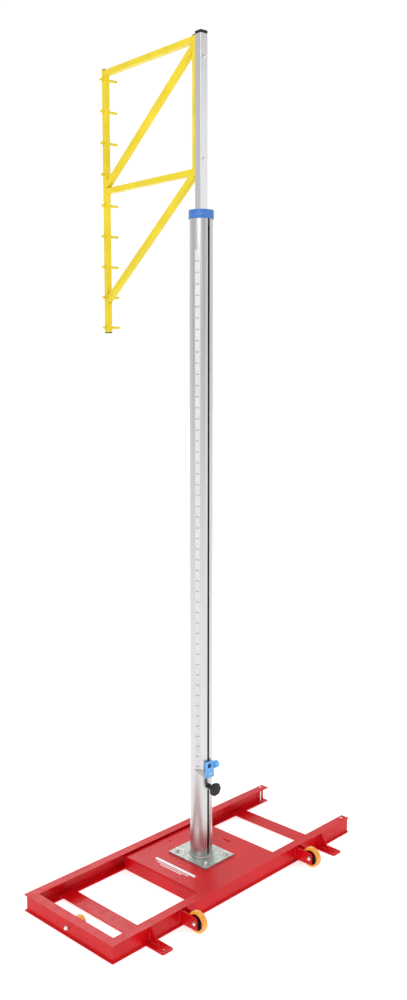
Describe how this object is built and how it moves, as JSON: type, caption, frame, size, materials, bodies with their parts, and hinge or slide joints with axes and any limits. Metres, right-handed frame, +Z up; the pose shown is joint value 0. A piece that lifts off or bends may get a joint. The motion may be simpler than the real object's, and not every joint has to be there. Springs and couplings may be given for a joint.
{
  "type": "pole vault upright",
  "caption": "Pole-vault upright with a red wheeled base of flanged rails, a slotted aluminium column, a sliding mast and a yellow pegged arm for the crossbar",
  "frame": {"origin": "Column axis at floor level", "axes": "+X runs along the rails to their open ends, +Z is up, the wheels and feet are on the -Y side"},
  "size_m": [1.646, 1.1847, 3.868],
  "materials": {
    "red_frame": "gloss",
    "yellow_arm": "gloss",
    "satin_aluminium": "satin",
    "galvanised_steel": "matte",
    "zinc_fasteners": "satin",
    "blue_plastic": "gloss",
    "black_plastic": "gloss",
    "amber_polyurethane": "gloss",
    "white_tape": "matte"
  },
  "bodies": {
    "base": {"front_rail": "red_frame", "rear_rail": "red_frame", "end_rail": "red_frame", "left_cross_strip": "red_frame", "right_cross_strip": "red_frame", "deck_plate": "red_frame", "column_base_plate": "galvanised_steel", "base_bolts": "zinc_fasteners", "m12_nuts": "zinc_fasteners", "column_tube": "satin_aluminium", "column_collar": "blue_plastic", "collar_guide": "black_plastic", "scale_tape": "white_tape", "left_foot_plate": "red_frame", "right_foot_plate": "red_frame", "left_foot_gusset": "red_frame", "right_foot_gusset": "red_frame", "left_bracket_near": "red_frame", "left_bracket_far": "red_frame", "right_bracket_near": "red_frame", "right_bracket_far": "red_frame", "left_wheel_axle": "zinc_fasteners", "right_wheel_axle": "zinc_fasteners", "end_roller_bolt": "zinc_fasteners", "end_bolts": "zinc_fasteners", "end_bolt_nuts": "zinc_fasteners"},
    "mast": {"mast_tube": "satin_aluminium", "mast_cap": "black_plastic", "mast_foot": "black_plastic", "slot_key": "satin_aluminium", "carriage_block": "blue_plastic", "carriage_grip": "blue_plastic", "carriage_screw": "zinc_fasteners", "scale_pointer": "satin_aluminium", "arm_back_post": "yellow_arm", "arm_outer_post": "yellow_arm", "arm_top_bar": "yellow_arm", "arm_mid_bar": "yellow_arm", "arm_upper_brace": "yellow_arm", "arm_lower_brace": "yellow_arm", "arm_bolts": "zinc_fasteners", "arm_bolt_nuts": "zinc_fasteners", "arm_caps": "black_plastic", "arm_peg_1": "yellow_arm", "arm_peg_2": "yellow_arm", "arm_peg_3": "yellow_arm", "arm_peg_4": "yellow_arm", "arm_peg_5": "yellow_arm", "arm_peg_6": "yellow_arm", "arm_peg_7": "yellow_arm", "arm_peg_8": "yellow_arm", "arm_peg_9": "yellow_arm"},
    "knob": {"clamp_knob": "black_plastic", "clamp_stud": "zinc_fasteners", "clamp_pad": "black_plastic"},
    "left_wheel": {"left_wheel_hub": "black_plastic", "left_wheel_tyre": "amber_polyurethane"},
    "right_wheel": {"right_wheel_hub": "black_plastic", "right_wheel_tyre": "amber_polyurethane"},
    "end_roller": {"end_roller": "amber_polyurethane"}
  },
  "joints": [
    {"name": "mast_lift", "type": "slide", "parent": "base", "child": "mast", "axis": [0, 0, 1], "range_m": [0, 2.35]},
    {"name": "clamp_turn", "type": "hinge", "parent": "mast", "child": "knob", "pos_m": [-0.0128, -0.10422, 0.435], "axis": [-0.1219, -0.9925, 0], "range_deg": [0, 540]},
    {"name": "left_wheel_spin", "type": "hinge", "parent": "base", "child": "left_wheel", "pos_m": [-0.418, -0.382, 0.0485], "axis": [1, 0, 0], "continuous": true},
    {"name": "right_wheel_spin", "type": "hinge", "parent": "base", "child": "right_wheel", "pos_m": [0.382, -0.382, 0.0485], "axis": [1, 0, 0], "continuous": true},
    {"name": "end_roller_spin", "type": "hinge", "parent": "base", "child": "end_roller", "pos_m": [-0.76, 0, 0.04], "axis": [1, 0, 0], "continuous": true}
  ]
}
